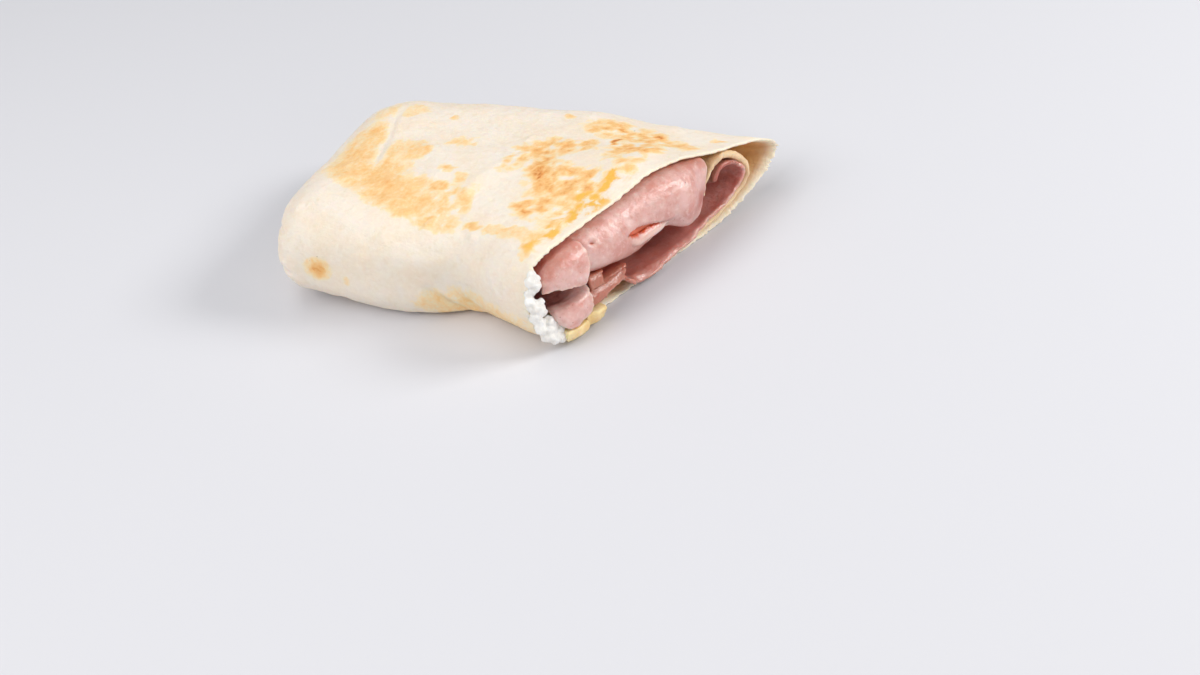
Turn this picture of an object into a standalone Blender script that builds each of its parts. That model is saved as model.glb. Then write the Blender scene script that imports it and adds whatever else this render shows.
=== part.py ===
"""Half of a rolled flour wrap, cut across at a slant and lying flat.

The soft flatbread is one rolled sheet: a closed pillow that is open at the cut, with the
sheet's inner end turned back inside it. Folded slices of cold meat, a slice of pale cheese
and a strip of soft white cheese run through it and show at the cut.

Every piece is placed by wrap_point, which takes a place on the cut (across, height) and a
depth into the wrap, so the pieces nest in each other from the cut to the closed end.
"""

import math

import bmesh
import bpy

MM = 0.001

# Driving dimensions of the half
LENGTH_NEAR = 90.8 * MM      # closed end to the cut, along the short side
LENGTH_FAR = 130.8 * MM      # closed end to the tip of the cut, along the long side
NEAR_EDGE = -48.6 * MM       # the cut's steep end
FAR_TIP = 41.8 * MM          # the cut's pointed end
HEIGHT = 30.5 * MM
WALL = 1.5 * MM              # one layer of the flatbread
MEAT = 1.8 * MM              # one slice of meat
CHEESE = 1.5 * MM
GAP = 0.5 * MM               # clear space between neighbours

# How the pillow tapers away from the cut
NARROW_NEAR = 0.83
NARROW_FAR = 0.945
NARROW_BY = 0.28             # depth by which it has narrowed
LOWERING = 0.06              # height lost at the closed end
END_START = 0.85             # depth where the closed end starts to round off
END_SQUARE_NEAR = 0.55       # smaller is squarer, seen from above
END_SQUARE_FAR = 0.16
END_ROUND = 0.50             # smaller is blunter, seen from the side
END_HEIGHT = 13.0 * MM       # height of the fold that closes the end
END_SLANT = 0.022            # how much the closed end slants back towards the far side
FILLING_DEPTH = 0.80         # where the meat and cheese end inside
DENT = 2.6 * MM              # the fold under the near flank, and the fuller place beyond it
SWELL = 1.2 * MM
TOE_LIFT = 6.4 * MM          # how far the closed end's near corner rises off the table
TOE_START = 0.58             # depth where it starts to rise
TOE_SIDE = -18.0 * MM        # how far across it starts to rise: the base stays flat up to there
TOE_HEIGHT = 16.0 * MM       # height of the flank above which nothing rises
STRAIGHT_SHARE = 0.72        # share of the skin's faces that lie before the rounded end
LIP_START = 0.75             # share of a rolled slice's faces that lie inside the wrap

# The cut's outline, over the top from the steep end to the tip and back along the flat base
CUT_OUTLINE = [
    (y * MM, z * MM)
    for y, z in (
        (-48.6, 14.0), (-47.2, 22.0), (-41.5, 27.2), (-32.0, 28.6), (-17.0, 29.3),
        (-4.0, 30.5), (6.0, 29.0), (17.2, 25.0), (27.7, 21.4), (36.9, 17.8), (41.8, 12.6),
        (38.0, 7.6), (29.0, 3.2), (19.0, 0.8), (10.0, 0.0), (-10.0, 0.0), (-30.0, 0.0),
        (-40.5, 1.0), (-46.8, 6.5),
    )
]
# The same way round where the pillow is full, with a blunt fold at its far side
FULL_OUTLINE = [
    (y * MM, z * MM)
    for y, z in (
        (-48.6, 13.0), (-46.8, 21.5), (-40.5, 26.6), (-31.0, 28.8), (-17.0, 29.7),
        (-4.0, 30.2), (8.0, 30.0), (20.0, 29.4), (31.0, 27.8), (39.0, 23.6), (42.0, 15.4),
        (40.6, 6.0), (34.0, 1.2), (22.0, 0.0), (10.0, 0.0), (-10.0, 0.0), (-30.0, 0.0),
        (-43.5, 0.8), (-48.0, 5.6),
    )
]
FULL_BY = 0.42               # depth by which the outline is full
# The sheet's inner end: down from under the top, round the far side and back into the base
INNER_LAP = [
    (y * MM, z * MM)
    for y, z in (
        (16.9, 15.2), (17.5, 18.0), (19.7, 20.1), (22.9, 20.6), (26.3, 19.0), (29.2, 16.0),
        (30.8, 12.6), (30.6, 9.4), (28.5, 7.0), (24.0, 4.9), (19.0, 3.5), (14.0, 2.6),
        (9.0, 1.8), (4.0, 0.9),
    )
]
# The long low slice: along the base and curled up inside the sheet's inner end
LONG_SLICE = [
    (y * MM, z * MM)
    for y, z in (
        (-19.0, 6.4), (-16.5, 3.9), (-12.0, 2.9), (-4.0, 2.8), (4.0, 3.2), (11.0, 4.6),
        (18.0, 5.9), (24.0, 7.2), (27.4, 9.6), (28.2, 12.2), (26.8, 14.8), (24.0, 16.4),
        (21.2, 16.2),
    )
]

# The soft cheese lies along the flank, this far round the outline
STRIP_MIDDLE = -0.004
STRIP_HALF = 0.085

LAP_START = 0.010            # how far inside the cut the sheet's inner end stops

# The part stands with the middle of its box over the origin
CENTRE_X = 65.9 * MM
CENTRE_Y = -3.4 * MM

MATERIALS = {
    "flatbread": ((0.84, 0.70, 0.48), 0.62),
    "cold_meat": ((0.72, 0.36, 0.30), 0.38),
    "pale_cheese": ((0.80, 0.68, 0.34), 0.35),
    "soft_cheese": ((0.90, 0.85, 0.70), 0.45),
}


def curve_at(points, s, closed=False):
    """The place at s, from 0 to 1, on a smooth curve through the points."""
    count = len(points)
    spans = count if closed else count - 1
    place = min(max(s, 0.0), 1.0) * spans
    first = min(int(place), spans - 1)
    u = place - first

    def point(index):
        if closed:
            return points[index % count]
        return points[min(max(index, 0), count - 1)]

    before, start, end, after = (point(first + k) for k in (-1, 0, 1, 2))
    return tuple(
        0.5 * (2 * b + (c - a) * u + (2 * a - 5 * b + 4 * c - d) * u * u
               + (3 * b - a - 3 * c + d) * u ** 3)
        for a, b, c, d in zip(before, start, end, after)
    )


def level(points, y):
    """The height in millimetres at y, from a few (across, height) pairs, with soft corners."""
    y = y / MM
    if y <= points[0][0]:
        return points[0][1] * MM
    for (y0, z0), (y1, z1) in zip(points, points[1:]):
        if y <= y1:
            u = (y - y0) / (y1 - y0)
            return (z0 + (z1 - z0) * u * u * (3 - 2 * u)) * MM
    return points[-1][1] * MM


def ease(u):
    u = min(max(u, 0.0), 1.0)
    return u * u * (3 - 2 * u)


def bell(value, middle, width):
    return math.exp(-((value - middle) / width) ** 2)


def wave(y, t):
    """The uneven top of the pillow."""
    return (
        0.5 * math.sin(95 * y + 5.0 * t + 0.6) + 0.4 * math.sin(140 * y - 11.0 * t + 2.0)
        + 0.5 * math.sin(9.0 * t + 1.0)
    ) * MM


def cut_x(y):
    """Where the slanted cut lies at y."""
    slope = (LENGTH_FAR - LENGTH_NEAR) / (FAR_TIP - NEAR_EDGE)
    return LENGTH_NEAR + slope * (y - NEAR_EDGE)


def end_x(y):
    """Where the closed end lies at y."""
    return END_SLANT * (y - NEAR_EDGE)


def wrap_point(y, z, t, out=0.0):
    """A place on the cut, moved in by the depth t (1 is the closed end) and out by out."""
    x = cut_x(y) * (1 - t) + end_x(y) * t + out
    narrowed = ease(t / NARROW_BY)
    factor = NARROW_NEAR if y < 0 else NARROW_FAR
    side = y * (1 - (1 - factor) * narrowed)
    if y < 0:
        flank = ease(y / NEAR_EDGE)
        side += DENT * flank * bell(t, 0.30, 0.09) * bell(z, 0.2 * HEIGHT, 0.4 * HEIGHT)
        side -= SWELL * flank * bell(t, 0.52, 0.16)
    up = z * (1 - LOWERING * t) + wave(y, t) * z / HEIGHT * ease(t / 0.1)
    rise = max((t - TOE_START) / (1 - TOE_START), 0.0) ** 1.2
    rise *= ease((y - TOE_SIDE) / (NEAR_EDGE - TOE_SIDE))
    up += TOE_LIFT * rise * (1 - ease(z / TOE_HEIGHT))
    return (x - CENTRE_X, side - CENTRE_Y, up)


def outline_at(s, t):
    """A place on the wrap's outline at the depth t."""
    full = ease(t / FULL_BY)
    cut = curve_at(CUT_OUTLINE, s % 1.0, closed=True)
    body = curve_at(FULL_OUTLINE, s % 1.0, closed=True)
    return tuple(a + (b - a) * full for a, b in zip(cut, body))


def section_point(s, t, inset):
    """A place on the outline, moved inwards by inset."""
    y, z = outline_at(s, t)
    y0, z0 = outline_at(s - 0.004, t)
    y1, z1 = outline_at(s + 0.004, t)
    length = math.hypot(y1 - y0, z1 - z0)
    return y + (z1 - z0) / length * inset, z - (y1 - y0) / length * inset


def skin_point(s, depth, inset):
    """A place on the pillow's outer or inner face. Depth runs to the middle of its closed end."""
    straight = depth / STRAIGHT_SHARE
    y, z = section_point(s, straight * END_START, inset)
    z = max(z, inset)
    middle = 0.5 * (NEAR_EDGE + FAR_TIP)
    if straight <= 1:
        return wrap_point(y, z, straight * END_START)
    turn = (depth - STRAIGHT_SHARE) / (1 - STRAIGHT_SHARE) * math.pi / 2
    t = END_START + (1 - END_START) * math.sin(turn)
    # The last step meets in one point, where the cosine would leave a rounding error
    left = math.cos(turn) if depth < 1 else 0.0
    y = middle + (y - middle) * left ** (END_SQUARE_NEAR if y < middle else END_SQUARE_FAR)
    z = END_HEIGHT + (z - END_HEIGHT) * left ** END_ROUND
    return wrap_point(y, z, t - inset / LENGTH_NEAR * ease(depth))


def material(name):
    found = bpy.data.materials.get(name)
    if found:
        return found
    colour, roughness = MATERIALS[name]
    made = bpy.data.materials.new(name)
    made.use_nodes = True
    shader = made.node_tree.nodes["Principled BSDF"]
    shader.inputs["Base Color"].default_value = (*colour, 1.0)
    shader.inputs["Roughness"].default_value = roughness
    shader.inputs["Metallic"].default_value = 0.0
    made.diffuse_color = (*colour, 1.0)
    return made


def surface(name, across, along, place, collection, finish):
    """A grid of across by along faces, each corner moved to place(u, v)."""
    bm = bmesh.new()
    bmesh.ops.create_grid(bm, x_segments=across, y_segments=along, size=1.0)
    for vertex in bm.verts:
        vertex.co = place((vertex.co.x + 1) / 2, (vertex.co.y + 1) / 2)
    bmesh.ops.remove_doubles(bm, verts=bm.verts, dist=0.01 * MM)
    bmesh.ops.recalc_face_normals(bm, faces=bm.faces)
    mesh = bpy.data.meshes.new(name)
    bm.to_mesh(mesh)
    bm.free()
    mesh.shade_smooth()
    made = bpy.data.objects.new(name, mesh)
    made.data.materials.append(material(finish))
    collection.objects.link(made)
    return made


def thicken(sheet, thickness):
    solid = sheet.modifiers.new("thickness", "SOLIDIFY")
    solid.thickness = thickness
    solid.offset = 0.0
    return sheet


def draped_slice(name, edges, run, lip, out, turn, collection, finish="cold_meat",
                 thickness=MEAT, across=16, along=26, back=False, ragged=0.6, spread=0.0):
    """A slice that runs out of the wrap at the height run(y) and turns over to lip(y).

    turn is how far it turns, in degrees, and out(y) how far it stands out of the cut. With
    back, it runs into the wrap again at the lip's height. Its lip moves across by spread.
    """
    near, far = (edge * MM for edge in edges)
    inside = 0.40 if back else 0.55
    bend = math.radians(turn)

    def place(u, v):
        y = near + (far - near) * u
        tear = ragged * MM * (math.sin(31 * u + 1.3) + 0.6 * math.sin(67 * u + 0.4))
        high, low, reach = level(run, y), level(lip, y), level(out, y)
        if v < inside:
            t = FILLING_DEPTH * (1 - v / inside)
            return wrap_point(y, high, t, out=0.0)
        if back and v > 1 - inside:
            t = FILLING_DEPTH * (v - 1 + inside) / inside
            return wrap_point(y, low, t, out=0.0)
        span = 1 - 2 * inside if back else 1 - inside
        angle = bend * (v - inside) / span
        fall = (1 - math.cos(angle)) / (1 - math.cos(bend))
        edge = 0.0 if back else ease((v - inside) / span)
        z = high + (low - high) * fall
        return wrap_point(
            y + spread * MM * (1 - 0.5 * u) * fall, z + tear * edge, 0.0,
            out=reach * math.sin(angle) + 0.5 * tear * edge,
        )

    return thicken(surface(name, across, along, place, collection, finish), thickness)


def rolled_slice(name, curve, out, droop, start, collection, finish, thickness, across, along):
    """A slice whose cross-section is a curve on the cut, standing out by out(s)."""

    def place(u, v):
        y, z = curve_at(curve, u)
        if v < LIP_START:
            inside = v / LIP_START
            return wrap_point(y, z, FILLING_DEPTH * (1 - inside) + start * inside)
        lip = (v - LIP_START) / (1 - LIP_START)
        fall = droop(u) * lip * lip
        return wrap_point(y, z - fall, start * (1 - lip), out=out(u) * lip)

    return thicken(surface(name, across, along, place, collection, finish), thickness)


def tortilla(collection, helpers):
    """The rolled flatbread: a closed pillow with one open end, and the sheet's inner end in it."""

    def sock(u, v):
        if v <= 0.5:
            return skin_point(u, 1 - 2 * v, 0.0)
        return skin_point(u, 2 * v - 1, WALL)

    skin = surface("tortilla", 64, 30, sock, collection, "flatbread")

    def lap(u, v):
        y, z = curve_at(INNER_LAP, u)
        return wrap_point(y, z, LAP_START + (FILLING_DEPTH - LAP_START) * v)

    inner_end = thicken(surface("inner_lap", 30, 8, lap, helpers, "flatbread"), WALL)
    join = skin.modifiers.new("inner lap", "BOOLEAN")
    join.operation = "UNION"
    join.object = inner_end
    return skin


def meat(collection):
    under_top = WALL + GAP + MEAT / 2
    top = [(-44, 23.4), (-38, 27.0), (-32, 28.4), (-17, 29.3), (-4, 30.5), (6, 29.0), (17, 25.0)]
    top = [(y, z - under_top / MM) for y, z in top]

    draped_slice(
        "meat_top_fold", (-29.6, 15.2), top,
        lip=[(-30, 14.6), (-12, 12.6), (-2, 13.2), (2, 13.4), (8, 7.8), (11, 7.2), (16, 9.4)],
        out=[(-30, 2.0), (-16, 4.0), (0, 4.6), (9, 4.2), (13, 1.0), (16, -4.0)],
        turn=180, back=True, collection=collection, across=18, along=26, ragged=0.0,
    )
    draped_slice(
        "meat_left_flap", (-41.2, -30.4), top,
        lip=[(-41, 17.8), (-36, 17.4), (-32, 14.8), (-30, 15.4)],
        out=[(-41, 1.6), (-37, 3.6), (-30, 4.8)],
        turn=100, collection=collection, across=11, along=20, ragged=0.4, spread=-2.7,
    )
    draped_slice(
        "meat_low_curl", (-40.4, -30.6),
        run=[(-41, 9.4), (-37, 9.2), (-30, 12.0)],
        lip=[(-41, 6.6), (-38, 4.8), (-34, 6.4), (-30, 11.0)],
        out=[(-41, 2.4), (-37, 5.6), (-33, 6.2), (-30, 5.0)],
        turn=100, collection=collection, across=12, along=20, ragged=0.3, spread=-3.2,
    )
    draped_slice(
        "meat_ragged_flap", (-28.6, -18.4),
        run=[(-29, 9.0), (-18, 8.6)],
        lip=[(-29, 4.6), (-22, 6.0), (-18, 7.4)],
        out=[(-29, 3.0), (-18, 2.6)],
        turn=90, collection=collection, across=10, along=16, ragged=0.7,
    )
    draped_slice(
        "meat_small_flap", (-28.6, -24.4),
        run=[(-29, 11.8), (-24, 11.8)],
        lip=[(-29, 7.6), (-24, 9.0)],
        out=[(-29, 5.6), (-24, 5.2)],
        turn=90, collection=collection, across=4, along=12, ragged=0.3,
    )
    rolled_slice(
        "meat_long_slice", LONG_SLICE,
        out=lambda u: (3.0 + 0.7 * math.sin(40 * u)) * MM * (1 - ease(u / 0.8)),
        droop=lambda u: 1.6 * MM * (1 - ease((u - 0.1) / 0.4)),
        start=0.006, collection=collection, finish="cold_meat", thickness=MEAT,
        across=34, along=12,
    )


def cheeses(collection):
    draped_slice(
        "cheese_slice", (-38.0, -26.0),
        run=[(-38, 2.75), (-24, 2.75)],
        lip=[(-38, 1.8), (-24, 1.2)],
        out=[(-38, 2.6), (-30, 6.0), (-24, 4.4)],
        turn=80, collection=collection, finish="pale_cheese", thickness=CHEESE,
        across=10, along=14, ragged=0.3,
    )

    def strip(u, v):
        around = 2 * math.pi * u
        lip = max(2 * v - 1, 0.0)
        end = math.sin(math.pi * v) ** 0.22 if 0 < v < 1 else 0.0
        s = STRIP_MIDDLE + STRIP_HALF * math.sin(around) * end
        over = ease((lip - 0.12) / 0.25)
        half = (0.8 + 0.75 * over) * MM
        inset = (WALL + GAP) * (1 - over) + half * (1 + math.cos(around) * end)
        t = FILLING_DEPTH * max(1 - 2 * v, 0.0)
        y, z = section_point(s, t, inset)
        lump = 0.9 * math.sin(170 * s + 0.9) + 0.4 * math.sin(390 * s)
        return wrap_point(y, z, t, out=(3.2 + lump) * MM * math.sin(lip * math.pi / 2))

    surface("soft_cheese", 26, 22, strip, collection, "soft_cheese")


def main():
    for old in list(bpy.data.objects):
        bpy.data.objects.remove(old)
    parts = bpy.data.collections.new("wrap_half")
    helpers = bpy.data.collections.new("joined_shapes")
    bpy.context.scene.collection.children.link(parts)
    bpy.context.scene.collection.children.link(helpers)
    tortilla(parts, helpers)
    meat(parts)
    cheeses(parts)
    for helper in helpers.objects:
        helper.hide_render = True
        helper.display_type = "WIRE"


main()
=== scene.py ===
"""Half of a rolled flour wrap, cut across at a slant: a griddled flatbread folded shut at one
end, with folded slices of cold meat, pale cheese and soft white cheese showing at the cut."""

import itertools
import math

import bmesh
import bpy
import numpy as np
from mathutils import Matrix


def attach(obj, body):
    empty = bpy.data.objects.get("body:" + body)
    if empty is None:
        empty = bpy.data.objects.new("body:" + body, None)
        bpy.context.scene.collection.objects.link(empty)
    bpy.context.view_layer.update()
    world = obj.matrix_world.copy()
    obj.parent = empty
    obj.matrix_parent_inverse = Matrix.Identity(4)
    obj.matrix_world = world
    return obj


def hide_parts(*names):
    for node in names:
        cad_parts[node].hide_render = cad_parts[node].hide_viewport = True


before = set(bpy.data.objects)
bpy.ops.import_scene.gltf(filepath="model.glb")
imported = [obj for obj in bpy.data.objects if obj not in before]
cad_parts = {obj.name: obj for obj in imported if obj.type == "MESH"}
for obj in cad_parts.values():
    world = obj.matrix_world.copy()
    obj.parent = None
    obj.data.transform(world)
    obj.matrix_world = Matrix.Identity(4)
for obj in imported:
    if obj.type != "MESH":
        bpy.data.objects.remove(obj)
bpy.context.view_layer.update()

# The flatbread
# One soft sheet of flour dough, about 1.5 mm thick, rolled round the filling and folded shut at
# one end. It was pressed on a griddle, so its top has toasted patches, and cut with a knife.

MM = 0.001
LENGTH_NEAR = 90.8 * MM
LENGTH_FAR = 130.8 * MM
NEAR_EDGE = -48.6 * MM
FAR_TIP = 41.8 * MM
HEIGHT = 30.5 * MM
BREAD = 1.5 * MM
NARROW_NEAR = 0.83
NARROW_FAR = 0.945
NARROW_BY = 0.28
LOWERING = 0.06
END_START = 0.85
END_SQUARE_NEAR = 0.55
END_SQUARE_FAR = 0.16
END_ROUND = 0.50
END_HEIGHT = 13.0 * MM
END_SLANT = 0.022
STRAIGHT_SHARE = 0.72
DENT = 2.6 * MM
SWELL = 1.2 * MM
TOE_LIFT = 6.4 * MM
TOE_START = 0.58
TOE_SIDE = -18.0 * MM
TOE_HEIGHT = 16.0 * MM
FILLING_DEPTH = 0.80
CENTRE_X = 65.9 * MM
CENTRE_Y = -3.4 * MM

CUT_OUTLINE = np.array([
    (-48.6, 14.0), (-47.2, 22.0), (-41.5, 27.2), (-32.0, 28.6), (-17.0, 29.3), (-4.0, 30.5),
    (6.0, 29.0), (17.2, 25.0), (27.7, 21.4), (36.9, 17.8), (41.8, 12.6), (38.0, 7.6),
    (29.0, 3.2), (19.0, 0.8), (10.0, 0.0), (-10.0, 0.0), (-30.0, 0.0), (-40.5, 1.0),
    (-46.8, 6.5),
]) * MM
FULL_OUTLINE = np.array([
    (-48.6, 13.0), (-46.8, 21.5), (-40.5, 26.6), (-31.0, 28.8), (-17.0, 29.7), (-4.0, 30.2),
    (8.0, 30.0), (20.0, 29.4), (31.0, 27.8), (39.0, 23.6), (42.0, 15.4), (40.6, 6.0),
    (34.0, 1.2), (22.0, 0.0), (10.0, 0.0), (-10.0, 0.0), (-30.0, 0.0), (-43.5, 0.8),
    (-48.0, 5.6),
]) * MM
FULL_BY = 0.42


def ease(u):
    """A soft step that goes from 0 to 1 as u does."""
    u = np.clip(u, 0.0, 1.0)
    return u * u * (3 - 2 * u)


def bell(value, middle, width):
    """1 at the middle, and dying away over this width on both sides."""
    return np.exp(-(((value - middle) / width) ** 2))


def along_curve(points, s, closed=False):
    """Places on a smooth curve through the points, for s from 0 to 1."""
    count = len(points)
    spans = count if closed else count - 1
    place = (np.mod(s, 1.0) if closed else np.clip(s, 0.0, 1.0)) * spans
    first = np.minimum(place.astype(int), spans - 1)
    u = (place - first)[..., None]

    def pick(step):
        index = first + step
        return points[index % count if closed else np.clip(index, 0, count - 1)]

    a, b, c, d = (pick(step) for step in (-1, 0, 1, 2))
    return 0.5 * (2 * b + (c - a) * u + (2 * a - 5 * b + 4 * c - d) * u * u
                  + (3 * b - a - 3 * c + d) * u ** 3)


def lumps(places, size, seed=0):
    """Smooth unevenness from about -1 to 1, with lumps of this size in metres."""
    place = np.asarray(places) / size + seed * 7.31 + 101.5
    cell = np.floor(place).astype(np.int64)
    inside = place - cell
    blend = inside ** 3 * (inside * (inside * 6 - 15) + 10)
    total = np.zeros(place.shape[:-1])
    for corner in itertools.product((0, 1), repeat=3):
        at = cell + np.array(corner)
        code = (at[..., 0] * 73856093) ^ (at[..., 1] * 19349663) ^ (at[..., 2] * 83492791)
        code = (code ^ (code >> 13)) * 1274126177 & 0xFFFFFFFF
        code = (code ^ (code >> 15)) * 2246822519 & 0xFFFFFFFF
        turn = (code & 0xFFFF) / 65536 * 2 * math.pi
        rise = ((code >> 16) & 0xFFFF) / 32768 - 1
        flat = np.sqrt(np.maximum(1 - rise * rise, 0))
        slope = np.stack([flat * np.cos(turn), flat * np.sin(turn), rise], -1)
        weight = np.prod(np.where(np.array(corner) == 1, blend, 1 - blend), axis=-1)
        total += weight * np.sum(slope * (inside - np.array(corner)), axis=-1)
    return total * 1.6


def cut_x(y):
    """Where the slanted cut is, along the half, at this place across it."""
    return LENGTH_NEAR + (LENGTH_FAR - LENGTH_NEAR) / (FAR_TIP - NEAR_EDGE) * (y - NEAR_EDGE)


def wrap_point(y, z, t, out=0.0):
    """A place on the cut, moved in by the depth t (1 is the closed end) and out by out."""
    x = cut_x(y) * (1 - t) + END_SLANT * (y - NEAR_EDGE) * t + out
    factor = np.where(y < 0, NARROW_NEAR, NARROW_FAR)
    side = y * (1 - (1 - factor) * ease(t / NARROW_BY))
    flank = ease(y / NEAR_EDGE)
    side = side + DENT * flank * bell(t, 0.30, 0.09) * bell(z, 0.2 * HEIGHT, 0.4 * HEIGHT)
    side = side - SWELL * flank * bell(t, 0.52, 0.16)
    wave = (0.5 * np.sin(95 * y + 5.0 * t + 0.6) + 0.4 * np.sin(140 * y - 11.0 * t + 2.0)
            + 0.5 * np.sin(9.0 * t + 1.0)) * MM
    up = z * (1 - LOWERING * t) + wave * z / HEIGHT * ease(t / 0.1)
    rise = np.maximum((t - TOE_START) / (1 - TOE_START), 0.0) ** 1.2
    rise = rise * ease((y - TOE_SIDE) / (NEAR_EDGE - TOE_SIDE))
    up = up + TOE_LIFT * rise * (1 - ease(z / TOE_HEIGHT))
    return np.stack([x - CENTRE_X, side - CENTRE_Y, up], -1)


def section_point(s, t, inset):
    """A place on the outline at the depth t, moved inwards by inset."""
    full = ease(t / FULL_BY)[..., None]
    here, before, after = (
        along_curve(CUT_OUTLINE, s + step, True) * (1 - full)
        + along_curve(FULL_OUTLINE, s + step, True) * full
        for step in (0.0, -0.004, 0.004)
    )
    run = after - before
    run = run / np.linalg.norm(run, axis=-1, keepdims=True)
    return here[..., 0] + run[..., 1] * inset, here[..., 1] - run[..., 0] * inset


def skin_point(s, depth, inset, out=0.0):
    """A place on the pillow's outer or inner face. Depth runs to the middle of its closed end."""
    straight = depth / STRAIGHT_SHARE
    y, z = section_point(s, straight * END_START, inset)
    z = np.maximum(z, inset)
    middle = 0.5 * (NEAR_EDGE + FAR_TIP)
    turn = np.clip((depth - STRAIGHT_SHARE) / (1 - STRAIGHT_SHARE), 0, 1) * math.pi / 2
    left = np.where(depth < 1, np.cos(turn), 0.0)
    rounded = straight > 1
    t = np.where(rounded, END_START + (1 - END_START) * np.sin(turn)
                 - inset / LENGTH_NEAR * ease(depth), straight * END_START)
    squareness = np.where(y < middle, END_SQUARE_NEAR, END_SQUARE_FAR)
    y = np.where(rounded, middle + (y - middle) * left ** squareness, y)
    z = np.where(rounded, END_HEIGHT + (z - END_HEIGHT) * left ** END_ROUND, z)
    return wrap_point(y, z, t, out)


def across_normals(places, around):
    """The outward direction at each place of a grid."""
    if around:
        over = np.roll(places, -1, 1) - np.roll(places, 1, 1)
    else:
        over = np.gradient(places, axis=1)
    down = np.gradient(places, axis=0)
    normal = np.cross(over, down)
    size = np.linalg.norm(normal, axis=-1, keepdims=True)
    return normal / np.maximum(size, 1e-12)


def grid_object(name, places, around=False, marks=None):
    """A mesh of four-sided faces through a grid of places, with named marks at its corners."""
    rows, columns = places.shape[:2]
    index = np.arange(rows * columns).reshape(rows, columns)
    if around:
        index = np.concatenate([index, index[:, :1]], axis=1)
    faces = np.stack([index[:-1, :-1], index[:-1, 1:], index[1:, 1:], index[1:, :-1]], -1)
    mesh = bpy.data.meshes.new(name)
    mesh.from_pydata(places.reshape(-1, 3).tolist(), [], faces.reshape(-1, 4).tolist())
    for mark, values in (marks or {}).items():
        layer = mesh.attributes.new(mark, "FLOAT", "POINT")
        layer.data.foreach_set("value", np.ascontiguousarray(values, np.float32).ravel())
    bm = bmesh.new()
    bm.from_mesh(mesh)
    bmesh.ops.remove_doubles(bm, verts=bm.verts, dist=0.004 * MM)
    bmesh.ops.recalc_face_normals(bm, faces=bm.faces)
    bm.to_mesh(mesh)
    bm.free()
    mesh.shade_smooth()
    made = bpy.data.objects.new(name, mesh)
    bpy.context.scene.collection.objects.link(made)
    return made


# The pale crease over the folded-in end, as x for each y in mm
CREASE_Y = [-4, 0, 12, 23, 28]
CREASE_X = [-40.6, -41.4, -43.4, -46.8, -47.6]
# Griddle marks on the top: middle x and y, reach along x and y (mm), and how dark
GRIDDLE_MARKS = [
    (-50, 8, 7, 12, 0.42), (-48, -3, 9, 9, 0.44), (-38, -8, 12, 9, 0.44), (-28, -14, 12, 8, 0.47),
    (-20, -20, 9, 6, 0.44), (-9, -26, 8, 4, 0.36), (-52, 25, 5, 7, 0.22), (-45, 27, 8, 6, 0.25),
    (-34, 4, 8, 7, 0.34), (-28, 25, 2, 1.8, 0.38), (-27, 5.5, 2.2, 3, 0.50),
    (-14.5, -12, 2.6, 2.2, 0.55), (-12, -24, 1.3, 1.3, 0.52), (-9, -7.5, 2.4, 1.8, 0.46),
    (-14.5, 11.5, 1.2, 1.9, 0.44), (-20.5, 11, 3.4, 1.3, 0.36), (-16, -4, 3.2, 1.8, 0.40),
    (-5, -16, 3, 3, 0.34), (3, -26.5, 3.2, 1.8, 0.44), (11, -28, 7, 2.2, 0.34),
    (20, -30.5, 8, 3.2, 0.32), (24, -35, 3, 4, 0.36), (27.3, 17.4, 1.1, 3.6, 1.15),
    (13, -3, 2.6, 5, 0.78), (15.6, -8, 2.6, 4.6, 0.80), (37, 26, 1.2, 2.2, 0.80),
    (26.6, 26.6, 1.3, 1.8, 0.72), (20, -18.5, 3, 2, 0.62), (53, 32, 2.6, 1.5, 0.55),
    (7, 31, 1.4, 2.2, 0.42), (16, 3.5, 2.4, 2, 0.50), (48, 24, 2, 1.6, 0.42),
]
# Where the marks break up into many small ones, and the pale places among them
MOTTLED_PLACES = [
    (2, 6, 4, 9, 0.56), (9, 12, 6, 7, 0.56), (17, 13, 9, 5, 0.66), (22, 26, 9, 7, 0.56),
    (33, 24, 8, 8, 0.62), (36, 14, 8, 5, 0.68), (44, 22, 8, 5, 0.46), (12, 0, 5, 9, 0.66),
    (21, -6, 8.5, 9, 0.68), (17, -17, 7, 7, 0.64), (29, -7, 6, 8, 0.60), (38, 4, 5, 7, 0.50),
    (26, -20, 6, 10, 0.54), (-8, -17, 8, 8, 0.40), (32, 8, 5, 5, 0.40), (-18, 12, 6, 3, 0.30),
]
PALE_PLACES = [
    (24.5, 5.5, 5.5, 3.6, 1.0), (37, 7.5, 3, 2.2, 0.9), (5, -12, 5.5, 9, 1.0), (15, 19, 6, 3, 1.0),
    (30, 19, 2.4, 3, 0.6), (23, -24, 3, 5, 0.6),
]
# Where fat from the filling has soaked into the top by the cut
OILY_PLACES = [
    (35.3, -5.5, 1.8, 4.2, 0.9), (35, -12.5, 3.6, 3, 1.0), (31, -19, 2.2, 6, 0.75),
    (27.8, -27, 1.8, 5.5, 0.7), (30, -12, 2.4, 2, 0.6), (24.5, -34, 3.6, 3.6, 0.40),
    (40, -1, 1.6, 5, 0.3), (36, -17, 2, 5, 0.5),
]


def marked(places, marks):
    """How strongly the marks show at each place, seen from above, with uneven outlines."""
    flat = places * np.array([1, 1, 0])
    shift_x = 1.7 * lumps(flat, 4.0 * MM, 201) + 0.9 * lumps(flat, 1.8 * MM, 202)
    shift_y = 1.7 * lumps(flat, 4.0 * MM, 203) + 0.9 * lumps(flat, 1.8 * MM, 204)
    x, y = places[..., 0] / MM + shift_x, places[..., 1] / MM + shift_y
    total = np.zeros(x.shape)
    for mark_x, mark_y, reach_x, reach_y, strength in marks:
        far = np.sqrt(((x - mark_x) / reach_x) ** 2 + ((y - mark_y) / reach_y) ** 2)
        total = np.maximum(total, strength * ease((1.35 - far) / 0.9))
    return total


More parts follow.
